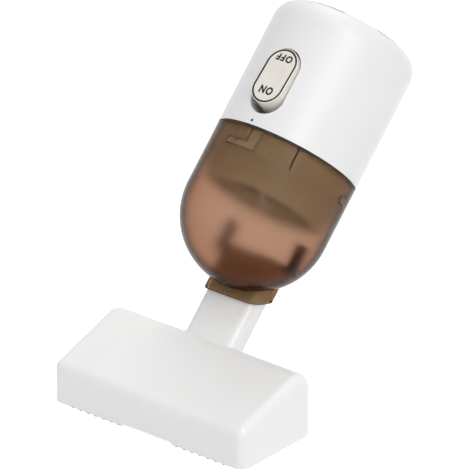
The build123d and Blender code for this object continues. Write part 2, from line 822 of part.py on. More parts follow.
# Filter frame: a tapered drum that pushes into the skirt's lip and is flush with the skirt
# below it, with a spoked floor that air passes
filter_r = collar_bore_r - seat
filter_bottom = intake_bottom - filter_depth
filter_shoulder = collar_bottom - seat
filter_foot_r = filter_r - filter_taper
with BuildPart() as filter_frame:
    with BuildSketch(front):
        with BuildLine():
            Polyline(
                (0, filter_bottom),
                (filter_foot_r, filter_bottom),
                (collar_r, filter_shoulder),
                (filter_r, filter_shoulder),
                (filter_r, intake_bottom),
                (0, intake_bottom),
                close=True,
            )
        make_face()
    revolve(axis=body_axis)
    with BuildSketch(body.offset(filter_bottom + filter_floor)):
        Circle(filter_foot_r - filter_wall)
    extrude(amount=filter_depth, mode=Mode.SUBTRACT)
    with BuildSketch(body.offset(filter_bottom)):
        Circle(filter_foot_r - filter_wall - filter_rim)
        Circle(filter_hub_dia / 2, mode=Mode.SUBTRACT)
        with PolarLocations(filter_r / 2, filter_spoke_count):
            Rectangle(filter_r, filter_spoke_width, mode=Mode.SUBTRACT)
    extrude(amount=filter_floor, mode=Mode.SUBTRACT)
save(filter_frame.part, "filter_frame")

# Filter media: a panel of paper in sharp pleats that stands on the frame's floor
media_r = filter_foot_r - filter_wall - seat
media_foot = filter_bottom + filter_floor
fold_step = media_r / pleat_count
lower_folds = []
upper_folds = []
for turn in range(-pleat_count - 1, pleat_count + 2):
    fold_height = media_foot + (turn % 2) * pleat_height
    lower_folds.append((turn * fold_step, fold_height))
    upper_folds.append((turn * fold_step, fold_height + media_rise))
with BuildPart() as filter_media:
    with BuildSketch(front):
        with BuildLine():
            Polyline(*lower_folds, *reversed(upper_folds), close=True)
        make_face()
    extrude(amount=media_r, both=True)
    with BuildSketch(body.offset(media_foot)):
        Circle(media_r)
    extrude(amount=filter_depth, mode=Mode.INTERSECT)
save(filter_media.part, "filter_media")

# Dust cup: a see-through shell with a domed end, L-shaped grooves in its inner wall for the
# collar's lugs, and an opening for the inlet duct
groove_gap = loose + seat
groove_arc = degrees((lug_width + 2 * groove_gap) / cup_bore_r)
groove_height = lug_height + 2 * groove_gap
groove_r = collar_r + lug_reach + loose
groove_floor = -lug_drop - groove_height / 2
with BuildPart() as dust_cup:
    with BuildSketch(front):
        with BuildLine():
            Line((cup_bore_r, cup_rim), (body_r, cup_rim))
            Line((body_r, cup_rim), (body_r, -cup_straight))
            CenterArc((0, -cup_straight), body_r, 0, -90)
            Line((0, dome_bottom), (0, dome_bottom + cup_wall))
            CenterArc((0, -cup_straight), cup_bore_r, -90, 90)
            Line((cup_bore_r, -cup_straight), (cup_bore_r, cup_rim))
        make_face()
    revolve(axis=body_axis)
    for turn in range(lug_count):
        lug_middle = front_angle + lug_angle + turn * 360 / lug_count
        with BuildSketch(spoke(lug_middle - groove_arc / 2)):
            with Locations((groove_r, -lug_drop)):
                Rectangle(2 * cup_wall, groove_height, align=(Align.MAX, Align.CENTER))
        revolve(axis=body_axis, revolution_arc=groove_arc + twist, mode=Mode.SUBTRACT)
        with BuildSketch(spoke(lug_middle + twist - groove_arc / 2)):
            with Locations((groove_r, groove_floor)):
                Rectangle(2 * cup_wall, -groove_floor, align=(Align.MAX, Align.MIN))
        revolve(axis=body_axis, revolution_arc=groove_arc, mode=Mode.SUBTRACT)
    with BuildSketch(body.offset(-duct_top)):
        with Locations((0, duct_offset)):
            RectangleRounded(duct_width + 2 * seat, duct_thickness + 2 * seat, duct_round + seat)
    extrude(amount=-body_dia, mode=Mode.SUBTRACT)
save(dust_cup.part, "dust_cup")

# Inlet duct: the rectangular socket through the cup's dome. Its lip is cut on a slant, a
# shoulder inside stops the brush head's tube, and only its two ends stand up inside the cup
duct_front = duct_offset - duct_thickness / 2
duct_back = duct_offset + duct_thickness / 2
lip_slope = tan(radians(duct_slant))
lip_front = (duct_front - duct_wall, -duct_reach - duct_wall * lip_slope)
lip_back = (duct_back + duct_wall, -duct_reach + (duct_thickness + duct_wall) * lip_slope)
with BuildPart() as inlet_duct:
    with BuildSketch(body.offset(-duct_top)):
        with Locations((0, duct_offset)):
            RectangleRounded(duct_width, duct_thickness, duct_round)
    extrude(amount=duct_top - duct_reach)
    with BuildSketch(section):
        with BuildLine():
            Polyline(lip_front, lip_back, (lip_back[0], lip_front[1]), close=True)
        make_face()
    extrude(amount=duct_width, both=True, mode=Mode.SUBTRACT)
    with BuildSketch(body.offset(-duct_top)):
        with Locations((0, duct_offset - post_forward)):
            Rectangle(post_spread, post_depth)
    extrude(amount=-arm_thickness)
    with BuildSketch(body.offset(-duct_top - arm_thickness)):
        with Locations((0, duct_offset - post_forward)):
            with GridLocations(post_spread, 1, 2, 1):
                RectangleRounded(post_width, post_depth, post_width / 3)
    extrude(amount=arm_thickness + post_height)
    with BuildSketch(body.offset(shoulder)):
        with Locations((0, duct_offset)):
            RectangleRounded(
                tube_width + 2 * socket_gap, tube_thickness + 2 * socket_gap, tube_round + socket_gap
            )
    extrude(amount=-duct_reach, mode=Mode.SUBTRACT)
    with BuildSketch(body.offset(-duct_top)):
        with Locations((0, duct_offset)):
            RectangleRounded(tube_bore_width, tube_bore_thickness, tube_bore_round)
    extrude(amount=-duct_reach, mode=Mode.SUBTRACT)
save(inlet_duct.part, "inlet_duct")

# Brush head: a wedge-shaped hood, open below, and the flat tube in one moulding. Ribs inside
# the front and back walls hold the brushes
half_depth = head_depth / 2
roof_slope = tan(radians(head_slope))
roof_front = rim_height + head_front_height
roof_back = roof_front + head_depth * roof_slope
roof_wall = head_wall / cos(radians(head_slope))
head_profile = Plane(origin=(0, head_y, 0), x_dir=(0, 1, 0), z_dir=(1, 0, 0))
inner_depth = half_depth - head_wall
inner_front = roof_front + head_wall * roof_slope - roof_wall
inner_back = roof_back - head_wall * roof_slope - roof_wall
inner_round = head_round - head_wall
brush_bottom = rim_height + rim_lift + brush_lift
brush_level = Plane(origin=(0, head_y, brush_bottom))
tuft_width = (tuft_columns - 1) * strand_pitch_x + bristle_size
brush_length = (tuft_count - 1) * tuft_pitch + tuft_width + 2 * brush_end
brush_line = inner_depth - brush_width / 2
rib_line = inner_depth - brush_width - rib_thickness / 2
end_rib_depth = brush_width + rib_thickness + rib_root
end_rib_line = inner_depth + rib_root - end_rib_depth / 2

with BuildPart() as head_cavity:
    with BuildSketch(head_profile) as cavity_profile:
        with BuildLine():
            Polyline(
                (-inner_depth, 0),
                (inner_depth, 0),
                (inner_depth, inner_back),
                (-inner_depth, inner_front),
                close=True,
            )
        make_face()
        back_corner = cavity_profile.vertices().group_by(Axis.X)[-1].sort_by(Axis.Y)[-1]
        fillet(back_corner, head_roof_back_round - head_wall)
    extrude(amount=head_length / 2 - head_wall, both=True)
    fillet(head_cavity.edges().filter_by(Axis.Z).group_by(Axis.Y)[0], head_front_round - head_wall)
    roof = head_cavity.faces().filter_by(GeomType.PLANE).sort_by(Axis.Z)[-1]
    back_bends = head_cavity.edges().filter_by(GeomType.CIRCLE).sort_by(Axis.Y)[-2:]
    back_uprights = head_cavity.edges().filter_by(Axis.Z).group_by(Axis.Y)[-1]
    fillet(roof.edges().sort_by(Axis.Y)[:-1] + back_bends + back_uprights, inner_round)

with BuildPart() as head_tube:
    with BuildSketch(body.offset(tube_end)):
        with Locations((0, duct_offset)):
            RectangleRounded(tube_width, tube_thickness, tube_round)
    extrude(amount=-(tube_run + tube_root + tube_end))

with BuildPart() as head_shell:
    with BuildSketch(head_profile) as hood_profile:
        with BuildLine():
            Polyline(
                (-half_depth, rim_height),
                (half_depth, rim_height),
                (half_depth, roof_back),
                (-half_depth, roof_front),
                close=True,
            )
        make_face()
        back_corner = hood_profile.vertices().group_by(Axis.X)[-1].sort_by(Axis.Y)[-1]
        fillet(back_corner, head_roof_back_round)
    extrude(amount=head_length / 2, both=True)
    fillet(head_shell.edges().filter_by(Axis.Z).group_by(Axis.Y)[0], head_front_round)
    roof = head_shell.faces().filter_by(GeomType.PLANE).sort_by(Axis.Z)[-1]
    back_bends = head_shell.edges().filter_by(GeomType.CIRCLE).sort_by(Axis.Y)[-2:]
    back_uprights = head_shell.edges().filter_by(Axis.Z).group_by(Axis.Y)[-1]
    fillet(roof.edges().sort_by(Axis.Y)[:-1] + back_bends + back_uprights, head_round)
    plain_hood = head_shell.part
    add(head_tube.part)
    fillet(new_edges(plain_hood, head_tube.part, combined=head_shell.part), tube_blend)
    add(head_cavity.part, mode=Mode.SUBTRACT)
    with BuildSketch(body.offset(tube_end)):
        with Locations((0, duct_offset)):
            RectangleRounded(tube_bore_width, tube_bore_thickness, tube_bore_round)
    extrude(amount=-(tube_run + tube_root + tube_end), mode=Mode.SUBTRACT)
    with BuildSketch(brush_level):
        for row in (-1, 1):
            with Locations((0, row * rib_line)):
                with GridLocations(2 * brush_middle, 1, 2, 1):
                    Rectangle(brush_length + 2 * rib_thickness, rib_thickness)
            for end in (-1, 1):
                with Locations((end * (brush_length + rib_thickness) / 2, row * end_rib_line)):
                    with GridLocations(2 * brush_middle, 1, 2, 1):
                        Rectangle(rib_thickness, end_rib_depth)
    extrude(amount=rib_height)
    with BuildSketch(brush_level.offset(brush_height)):
        for row in (-1, 1):
            for end in (-1, 1):
                with Locations((end * stop_spread, row * end_rib_line)):
                    with GridLocations(2 * brush_middle, 1, 2, 1):
                        Rectangle(rib_thickness, end_rib_depth)
    extrude(amount=rib_height - brush_height)
    with BuildSketch(Plane(origin=(0, head_y, rim_height), x_dir=(1, 0, 0), z_dir=(0, -1, 0))):
        with BuildLine():
            Polyline(
                (-rim_gap / 2, 0),
                (rim_gap / 2, 0),
                (rim_gap / 2 - rim_ramp, rim_lift),
                (rim_ramp - rim_gap / 2, rim_lift),
                close=True,
            )
        make_face()
    extrude(amount=head_depth, both=True, mode=Mode.SUBTRACT)
save(head_shell.part, "head_shell")

# Brushes: four strips with tufts of short straight bristles, two along the front wall and two
# along the back wall
for row_name, row in (("front", -1), ("rear", 1)):
    for end_name, end in (("left", -1), ("right", 1)):
        with BuildPart() as brush:
            with BuildSketch(brush_level):
                with Locations((end * brush_middle, row * brush_line)):
                    Rectangle(brush_length, brush_width)
            extrude(amount=brush_height)
            with BuildSketch(brush_level):
                with Locations((end * brush_middle, row * brush_line)):
                    with GridLocations(tuft_pitch, 1, tuft_count, 1):
                        with GridLocations(strand_pitch_x, strand_pitch_y, tuft_columns, tuft_rows):
                            Rectangle(bristle_size, bristle_size)
            extrude(amount=-brush_bottom)
        save(brush.part, f"{row_name}_brush_{end_name}")
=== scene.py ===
import bpy
import json
import math
import random
from mathutils import Matrix, Vector


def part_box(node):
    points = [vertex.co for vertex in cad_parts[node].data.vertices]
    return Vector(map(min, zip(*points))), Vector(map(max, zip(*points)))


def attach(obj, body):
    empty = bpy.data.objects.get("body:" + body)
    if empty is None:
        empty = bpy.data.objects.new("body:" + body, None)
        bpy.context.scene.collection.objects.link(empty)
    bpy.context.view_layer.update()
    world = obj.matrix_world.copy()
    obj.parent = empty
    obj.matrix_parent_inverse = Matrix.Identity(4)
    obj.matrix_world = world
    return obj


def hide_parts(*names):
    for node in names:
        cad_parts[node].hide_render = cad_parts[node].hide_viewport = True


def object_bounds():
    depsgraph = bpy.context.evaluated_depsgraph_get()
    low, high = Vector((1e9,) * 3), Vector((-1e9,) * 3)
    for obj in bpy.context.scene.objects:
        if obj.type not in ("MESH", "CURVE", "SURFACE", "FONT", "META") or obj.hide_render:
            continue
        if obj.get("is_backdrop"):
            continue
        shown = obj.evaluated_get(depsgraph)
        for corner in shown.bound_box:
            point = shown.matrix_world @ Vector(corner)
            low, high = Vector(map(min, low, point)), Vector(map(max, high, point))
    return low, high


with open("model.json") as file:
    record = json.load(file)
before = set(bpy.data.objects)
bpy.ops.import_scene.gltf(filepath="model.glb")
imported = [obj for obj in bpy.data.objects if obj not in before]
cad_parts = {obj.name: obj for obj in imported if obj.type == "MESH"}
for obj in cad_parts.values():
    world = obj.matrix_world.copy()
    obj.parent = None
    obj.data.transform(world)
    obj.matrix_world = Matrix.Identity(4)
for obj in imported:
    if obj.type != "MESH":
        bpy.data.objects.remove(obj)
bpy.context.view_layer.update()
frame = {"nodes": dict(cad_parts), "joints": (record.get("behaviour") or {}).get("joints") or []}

# Motor housing: the white upper half of the capsule, injection moulded in ABS with a fine
# spark-eroded grain. Three long screws from below pull it onto the motor plate.


def linear(code):
    """sRGB hex to the linear colour that a shader takes."""
    parts = [int(code[i:i + 2], 16) / 255 for i in (1, 3, 5)]
    return [c / 12.92 if c <= 0.04045 else ((c + 0.055) / 1.055) ** 2.4 for c in parts] + [1.0]


def put(owner, kind, inputs=None, **settings):
    """Add one node with its settings; an input takes a value or the socket it is linked to."""
    made = owner.node_tree.nodes.new(kind)
    for name, value in settings.items():
        setattr(made, name, value)
    for name, value in (inputs or {}).items():
        if isinstance(value, bpy.types.NodeSocket):
            owner.node_tree.links.new(value, made.inputs[name])
        else:
            made.inputs[name].default_value = value
    return made


def finish(name):
    """An empty material under its real name, with the place that its patterns are read from."""
    material = bpy.data.materials.new(name)
    material.use_nodes = True
    material.node_tree.nodes.clear()
    return material, put(material, "ShaderNodeTexCoord").outputs["Object"]


def dress(material, *names):
    """Give the finish to CAD pieces."""
    for name in names:
        piece = frame["nodes"][name]
        if not piece.material_slots:
            piece.data.materials.append(material)
        for place in piece.material_slots:
            place.material = material


# Satin ABS gives a broad soft highlight. Its grain of 0.1 mm is drawn at 0.45 mm so that it
# shows, and slow changes over 25 mm keep the white from looking painted. The walls of the
# exhaust slots, which lie under the crown's 9.5 mm round, are greyed near black as painted shade.
seam = Vector(next(joint for joint in frame["joints"] if joint["name"] == "cup_twist")["pos_m"])
body_axis = Vector((0, math.sin(math.radians(45)), math.cos(math.radians(45))))
crown_round = 0.0095
crown_round_radius = 0.0215
crown_round_height = 0.0495
white_abs, place = finish("satin_white_abs")
grain = put(white_abs, "ShaderNodeTexNoise", {"Vector": place, "Scale": 1 / 0.00045, "Detail": 3.0})
drift = put(white_abs, "ShaderNodeTexNoise", {"Vector": place, "Scale": 1 / 0.025, "Detail": 2.0})
tone = put(white_abs, "ShaderNodeMix", {0: drift.outputs["Fac"], 6: linear("#e8e8e9"), 7: linear("#eeeeed")},
           data_type="RGBA")
from_seam = put(white_abs, "ShaderNodeVectorMath", {0: place, 1: seam}, operation="SUBTRACT")
height = put(white_abs, "ShaderNodeVectorMath", {
    0: from_seam.outputs[0], 1: body_axis}, operation="DOT_PRODUCT")
along = put(white_abs, "ShaderNodeVectorMath", {
    0: body_axis, "Scale": height.outputs["Value"]}, operation="SCALE")
across = put(white_abs, "ShaderNodeVectorMath", {0: from_seam.outputs[0], 1: along.outputs[0]},
             operation="SUBTRACT")
radius = put(white_abs, "ShaderNodeVectorMath", {0: across.outputs[0]}, operation="LENGTH")
outward = put(white_abs, "ShaderNodeMath", {
    0: radius.outputs["Value"], 1: crown_round_radius}, operation="SUBTRACT")
upward = put(white_abs, "ShaderNodeMath", {
    0: height.outputs["Value"], 1: crown_round_height}, operation="SUBTRACT")
round_place = put(white_abs, "ShaderNodeCombineXYZ", {"X": outward.outputs[0], "Y": upward.outputs[0]})
round_reach = put(white_abs, "ShaderNodeVectorMath", {0: round_place.outputs[0]}, operation="LENGTH")
# Painted shade: the walls of the exhaust slots, just inside the crown's round, turn near black.
dust_and_slot_shade = put(white_abs, "ShaderNodeMapRange", {
    "Value": round_reach.outputs["Value"], "From Min": crown_round - 0.00006,
    "From Max": crown_round - 0.0005})
tone = put(white_abs, "ShaderNodeMix", {0: dust_and_slot_shade.outputs["Result"], 6: tone.outputs[2], 7: linear("#2e2d2c")},
           data_type="RGBA")
gloss = put(white_abs, "ShaderNodeMapRange", {"Value": drift.outputs["Fac"], "To Min": 0.36, "To Max": 0.46})
relief = put(white_abs, "ShaderNodeBump", {
    "Height": grain.outputs["Fac"], "Strength": 0.06, "Distance": 0.00005})
skin = put(white_abs, "ShaderNodeBsdfPrincipled", {
    "Base Color": tone.outputs[2], "Roughness": gloss.outputs["Result"], "Normal": relief.outputs["Normal"],
    "IOR": 1.53})
put(white_abs, "ShaderNodeOutputMaterial", {"Surface": skin.outputs["BSDF"]})
dress(white_abs, "motor_housing")

# Index dot and lock mark: a black plug in the housing above the seam, which shows where the cup
# locks, and a black strip let into the collar's slot, whose black is painted shade for the slot.
# The motor's end cap and the chip are black ABS too, which reads as a near black with a dull,
# slightly grainy skin.
black_abs, place = finish("black_abs")
grain = put(black_abs, "ShaderNodeTexNoise", {"Vector": place, "Scale": 1 / 0.0006, "Detail": 3.0})
tone = put(black_abs, "ShaderNodeMix", {0: grain.outputs["Fac"], 6: linear("#101012"), 7: linear("#1d1d20")},
           data_type="RGBA")
relief = put(black_abs, "ShaderNodeBump", {
    "Height": grain.outputs["Fac"], "Strength": 0.15, "Distance": 0.00005})
skin = put(black_abs, "ShaderNodeBsdfPrincipled", {
    "Base Color": tone.outputs[2], "Roughness": 0.45, "Normal": relief.outputs["Normal"], "IOR": 1.53})
put(black_abs, "ShaderNodeOutputMaterial", {"Surface": skin.outputs["BSDF"]})
dress(black_abs, "index_dot", "lock_mark", "motor_end_cap", "board_components")

# Switch well: the grey oval pocket behind the switch opening, moulded in ABS with a plate that
# carries the board. The ABS is a pale neutral grey, and its fine grain, drawn at 0.5 mm, softens
# the shadow in the pocket. The motor plate and the cradle are moulded in the same.
grey_abs, place = finish("grey_abs")
grain = put(grey_abs, "ShaderNodeTexNoise", {"Vector": place, "Scale": 1 / 0.0005, "Detail": 3.0})
tone = put(grey_abs, "ShaderNodeMix", {0: grain.outputs["Fac"], 6: linear("#dfe1e4"), 7: linear("#e9ebed")},
           data_type="RGBA")
relief = put(grey_abs, "ShaderNodeBump", {
    "Height": grain.outputs["Fac"], "Strength": 0.12, "Distance": 0.00005})
skin = put(grey_abs, "ShaderNodeBsdfPrincipled", {
    "Base Color": tone.outputs[2], "Roughness": 0.38, "Normal": relief.outputs["Normal"], "IOR": 1.53})
put(grey_abs, "ShaderNodeOutputMaterial", {"Surface": skin.outputs["BSDF"]})
dress(grey_abs, "switch_well", "motor_plate", "battery_cradle")

# Rocker: the white oval button, moulded in a slightly warmer and glossier ABS than the housing.
# It turns on a steel pin. Slow changes over 9 mm in tone and gloss keep the face from looking flat.
cream_abs, place = finish("cream_gloss_abs")
grain = put(cream_abs, "ShaderNodeTexNoise", {"Vector": place, "Scale": 1 / 0.0004, "Detail": 2.0})
drift = put(cream_abs, "ShaderNodeTexNoise", {"Vector": place, "Scale": 1 / 0.009, "Detail": 2.0})
tone = put(cream_abs, "ShaderNodeMix", {0: drift.outputs["Fac"], 6: linear("#e5e0d8"), 7: linear("#ebe6de")},
           data_type="RGBA")
relief = put(cream_abs, "ShaderNodeBump", {
    "Height": grain.outputs["Fac"], "Strength": 0.04, "Distance": 0.00004})
gloss = put(cream_abs, "ShaderNodeMapRange", {"Value": drift.outputs["Fac"], "To Min": 0.22, "To Max": 0.32})
skin = put(cream_abs, "ShaderNodeBsdfPrincipled", {
    "Base Color": tone.outputs[2], "Roughness": gloss.outputs["Result"], "Normal": relief.outputs["Normal"],
    "IOR": 1.53})
put(cream_abs, "ShaderNodeOutputMaterial", {"Surface": skin.outputs["BSDF"]})
dress(cream_abs, "switch_rocker")

# Rocker ring and lettering: a dark bronze hot-foil line round the face, and the two words in the
# same foil. The foil is thin metal, so it glints where the light falls flat on it.
foil, place = finish("dark_bronze_foil")
worn = put(foil, "ShaderNodeTexNoise", {"Vector": place, "Scale": 1 / 0.0012, "Detail": 4.0})
tone = put(foil, "ShaderNodeMix", {0: worn.outputs["Fac"], 6: linear("#120d07"), 7: linear("#2b2013")},
           data_type="RGBA")
gloss = put(foil, "ShaderNodeMapRange", {"Value": worn.outputs["Fac"], "To Min": 0.28, "To Max": 0.5})
skin = put(foil, "ShaderNodeBsdfPrincipled", {
    "Base Color": tone.outputs[2], "Roughness": gloss.outputs["Result"], "Metallic": 0.4})
put(foil, "ShaderNodeOutputMaterial", {"Surface": skin.outputs["BSDF"]})
dress(foil, "rocker_ring")

hinge = next(joint for joint in frame["joints"] if joint["name"] == "switch_rock")
face_tilt = math.radians(40)
face_height = 0.0125
foil_thickness = 0.00008
face_out = Vector((0, -math.sin(face_tilt), math.cos(face_tilt)))
face_up = Vector((0, math.cos(face_tilt), math.sin(face_tilt)))
face_middle = Vector(hinge["pos_m"]) + face_out * face_height
for word, along, width, height in (("OFF", 0.0084, 0.0078, 0.0032), ("ON", -0.0069, 0.0064, 0.0036)):
    bpy.ops.object.select_all(action="DESELECT")
    bpy.ops.object.text_add()
    letters = bpy.context.object
    letters.data.body = word
    letters.data.align_x = "CENTER"
    letters.data.align_y = "CENTER"
    letters.data.offset = 0.04
    letters.data.space_character = 1.2
    letters.data.extrude = 0.02
    letters.data.bevel_depth = 0.004
    bpy.ops.object.convert(target="MESH")
    letters = bpy.context.object
    letters.name = "lettering_" + word.lower()
    bpy.ops.object.mode_set(mode="EDIT")
    bpy.ops.mesh.select_all(action="SELECT")
    bpy.ops.mesh.remove_doubles(threshold=0.0005)
    bpy.ops.mesh.normals_make_consistent(inside=False)
    bpy.ops.object.mode_set(mode="OBJECT")
    bpy.ops.object.origin_set(type="ORIGIN_GEOMETRY", center="BOUNDS")
    size = letters.dimensions.copy()
    letters.matrix_world = Matrix.Translation(face_middle + face_up * along) @ Matrix((
        (-1, 0, 0, 0),
        (0, -face_up.y, face_out.y, 0),
        (0, -face_up.z, face_out.z, 0),
        (0, 0, 0, 1))) @ Matrix.Diagonal((width / size.x, height / size.y, foil_thickness / size.z, 1))
    bpy.ops.object.transform_apply(location=True, rotation=True, scale=True)
    letters.data.materials.append(foil)
    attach(letters, "rocker")

# Pin, screws, shaft, motor can and socket: turned or drawn steel with a bright nickel plate.
# Fine draw lines 0.3 mm apart run round the body's axis.
nickel, place = finish("nickel_plated_steel")
turned = put(nickel, "ShaderNodeMapping", {"Vector": place, "Rotation": (math.radians(45), 0, 0)})
lines = put(nickel, "ShaderNodeTexWave", {"Vector": turned.outputs["Vector"], "Scale": 0.31 / 0.0003,
                                          "Distortion": 1.5, "Detail": 2.0}, bands_direction="Z")
gloss = put(nickel, "ShaderNodeMapRange", {"Value": lines.outputs["Fac"], "To Min": 0.22, "To Max": 0.36})
relief = put(nickel, "ShaderNodeBump", {
    "Height": lines.outputs["Fac"], "Strength": 0.08, "Distance": 0.00003})
skin = put(nickel, "ShaderNodeBsdfPrincipled", {
    "Base Color": linear("#c9c7c2"), "Metallic": 1.0, "Roughness": gloss.outputs["Result"],
    "Normal": relief.outputs["Normal"]})
put(nickel, "ShaderNodeOutputMaterial", {"Surface": skin.outputs["BSDF"]})
dress(nickel, "rocker_pin", "charging_socket", "board_screws", "motor_can", "motor_screws", "motor_shaft",
      "collar_screws")

# Switch contacts and motor terminals: brass strip, stamped and left bare, then pressed into
# their plastic holders. Tarnish every 2 mm dulls the yellow metal in patches.
brass, place = finish("stamped_brass")
tarnish = put(brass, "ShaderNodeTexNoise", {"Vector": place, "Scale": 1 / 0.002, "Detail": 4.0})
tone = put(brass, "ShaderNodeMix", {0: tarnish.outputs["Fac"], 6: linear("#b08a3c"), 7: linear("#dcb865")},
           data_type="RGBA")
gloss = put(brass, "ShaderNodeMapRange", {"Value": tarnish.outputs["Fac"], "To Min": 0.4, "To Max": 0.25})
skin = put(brass, "ShaderNodeBsdfPrincipled", {
    "Base Color": tone.outputs[2], "Metallic": 1.0, "Roughness": gloss.outputs["Result"]})
put(brass, "ShaderNodeOutputMaterial", {"Surface": skin.outputs["BSDF"]})
dress(brass, "switch_contacts", "motor_terminals")

# Circuit board: glass-fibre laminate under green solder resist, screwed to the well's plate.
# Copper tracks 0.8 mm apart show as paler lines through the resist.
resist, place = finish("green_solder_resist")
tracks = put(resist, "ShaderNodeTexBrick", {
    "Vector": place, "Scale": 1.0, "Brick Width": 0.0032, "Row Height": 0.0008, "Mortar Size": 0.00012,
    "Color1": linear("#0f4526"), "Color2": linear("#12502c"), "Mortar": linear("#2f7a4a")})
skin = put(resist, "ShaderNodeBsdfPrincipled", {
    "Base Color": tracks.outputs["Color"], "Roughness": 0.3, "IOR": 1.55})
put(resist, "ShaderNodeOutputMaterial", {"Surface": skin.outputs["BSDF"]})
dress(resist, "circuit_board")

# Motor magnets and armature: pressed ferrite arcs glued in the can, and a stack of steel sheets
# 0.5 mm thick on the shaft, seen as fine bands.
ferrite, place = finish("pressed_ferrite")
grit = put(ferrite, "ShaderNodeTexNoise", {"Vector": place, "Scale": 1 / 0.0008, "Detail": 5.0})
tone = put(ferrite, "ShaderNodeMix", {0: grit.outputs["Fac"], 6: linear("#2b2c2f"), 7: linear("#46474b")},
           data_type="RGBA")
skin = put(ferrite, "ShaderNodeBsdfPrincipled", {"Base Color": tone.outputs[2], "Roughness": 0.7})
put(ferrite, "ShaderNodeOutputMaterial", {"Surface": skin.outputs["BSDF"]})
dress(ferrite, "motor_magnets")

sheets, place = finish("stacked_steel_sheets")
turned = put(sheets, "ShaderNodeMapping", {"Vector": place, "Rotation": (math.radians(45), 0, 0)})
lines = put(sheets, "ShaderNodeTexWave", {"Vector": turned.outputs["Vector"], "Scale": 0.31 / 0.0005},
            bands_direction="Z")
tone = put(sheets, "ShaderNodeMix", {0: lines.outputs["Fac"], 6: linear("#5c5d60"), 7: linear("#8f9092")},
           data_type="RGBA")
skin = put(sheets, "ShaderNodeBsdfPrincipled", {
    "Base Color": tone.outputs[2], "Metallic": 0.9, "Roughness": 0.45})
put(sheets, "ShaderNodeOutputMaterial", {"Surface": skin.outputs["BSDF"]})
dress(sheets, "armature_core")

# Bushings and commutator: sintered bronze sleeves full of oil, and the copper drum that feeds
# the armature. Pores of 0.3 mm mottle the bronze.
bronze, place = finish("sintered_bronze")
pores = put(bronze, "ShaderNodeTexNoise", {"Vector": place, "Scale": 1 / 0.0003, "Detail": 3.0})
tone = put(bronze, "ShaderNodeMix", {0: pores.outputs["Fac"], 6: linear("#8a5a34"), 7: linear("#c58a56")},
           data_type="RGBA")
relief = put(bronze, "ShaderNodeBump", {"Height": pores.outputs["Fac"], "Strength": 0.2, "Distance": 0.00005})
skin = put(bronze, "ShaderNodeBsdfPrincipled", {
    "Base Color": tone.outputs[2], "Metallic": 1.0, "Roughness": 0.42, "Normal": relief.outputs["Normal"]})
put(bronze, "ShaderNodeOutputMaterial", {"Surface": skin.outputs["BSDF"]})
dress(bronze, "front_bushing", "rear_bushing", "commutator")

# Fan impeller: dark glass-filled nylon, moulded in one with its hub and pressed on the shaft.
# Glass fibres give it a dull streaked skin.
filled_nylon, place = finish("glass_filled_nylon")
fibres = put(filled_nylon, "ShaderNodeTexNoise", {"Vector": place, "Scale": 1 / 0.001, "Detail": 6.0,
                                                  "Distortion": 1.2})
tone = put(filled_nylon, "ShaderNodeMix", {
    0: fibres.outputs["Fac"], 6: linear("#2a2b2d"), 7: linear("#3d3e41")}, data_type="RGBA")
skin = put(filled_nylon, "ShaderNodeBsdfPrincipled", {"Base Color": tone.outputs[2], "Roughness": 0.6})
put(filled_nylon, "ShaderNodeOutputMaterial", {"Surface": skin.outputs["BSDF"]})
dress(filled_nylon, "fan_impeller")

# Battery cell: a pouch of laminated aluminium foil, held in its cradle. Light creases 6 mm apart
# break up its silver shine.
pouch, place = finish("foil_pouch")
creases = put(pouch, "ShaderNodeTexNoise", {
    "Vector": place, "Scale": 1 / 0.006, "Detail": 4.0, "Distortion": 0.8})
relief = put(pouch, "ShaderNodeBump", {"Height": creases.outputs["Fac"], "Strength": 0.3, "Distance": 0.0003})
gloss = put(pouch, "ShaderNodeMapRange", {"Value": creases.outputs["Fac"], "To Min": 0.3, "To Max": 0.45})
skin = put(pouch, "ShaderNodeBsdfPrincipled", {
    "Base Color": linear("#b9bcc0"), "Metallic": 0.85, "Roughness": gloss.outputs["Result"],
    "Normal": relief.outputs["Normal"]})
put(pouch, "ShaderNodeOutputMaterial", {"Surface": skin.outputs["BSDF"]})
dress(pouch, "battery_cell")

# Leads: stranded copper in red or black PVC, soldered from the cell and the motor to the board.
# Soft PVC is smooth, with a faint unevenness every 3 mm from the strands.
for name, dark, pale in (("red", "#9d1712", "#b8241d"), ("black", "#141415", "#232325")):
    pvc, place = finish(name + "_pvc")
    strands = put(pvc, "ShaderNodeTexNoise", {"Vector": place, "Scale": 1 / 0.003, "Detail": 2.0})
    tone = put(pvc, "ShaderNodeMix", {0: strands.outputs["Fac"], 6: linear(dark), 7: linear(pale)},
               data_type="RGBA")
    skin = put(pvc, "ShaderNodeBsdfPrincipled", {"Base Color": tone.outputs[2], "Roughness": 0.35})
    put(pvc, "ShaderNodeOutputMaterial", {"Surface": skin.outputs["BSDF"]})
    dress(pvc, "motor_lead_" + name, "battery_lead_" + name)

# Seal ring: a flat ring of black nitrile rubber, clamped between the housing and the cup. It is
# dull, and dust greys it a little.
rubber, place = finish("black_nitrile_rubber")
dust_and_slot_shade = put(rubber, "ShaderNodeTexNoise", {"Vector": place, "Scale": 1 / 0.002, "Detail": 4.0})
tone = put(rubber, "ShaderNodeMix", {0: dust_and_slot_shade.outputs["Fac"], 6: linear("#0b0b0b"), 7: linear("#1a1a19")},
           data_type="RGBA")
skin = put(rubber, "ShaderNodeBsdfPrincipled", {"Base Color": tone.outputs[2], "Roughness": 0.7})
put(rubber, "ShaderNodeOutputMaterial", {"Surface": skin.outputs["BSDF"]})
dress(rubber, "seal_ring")

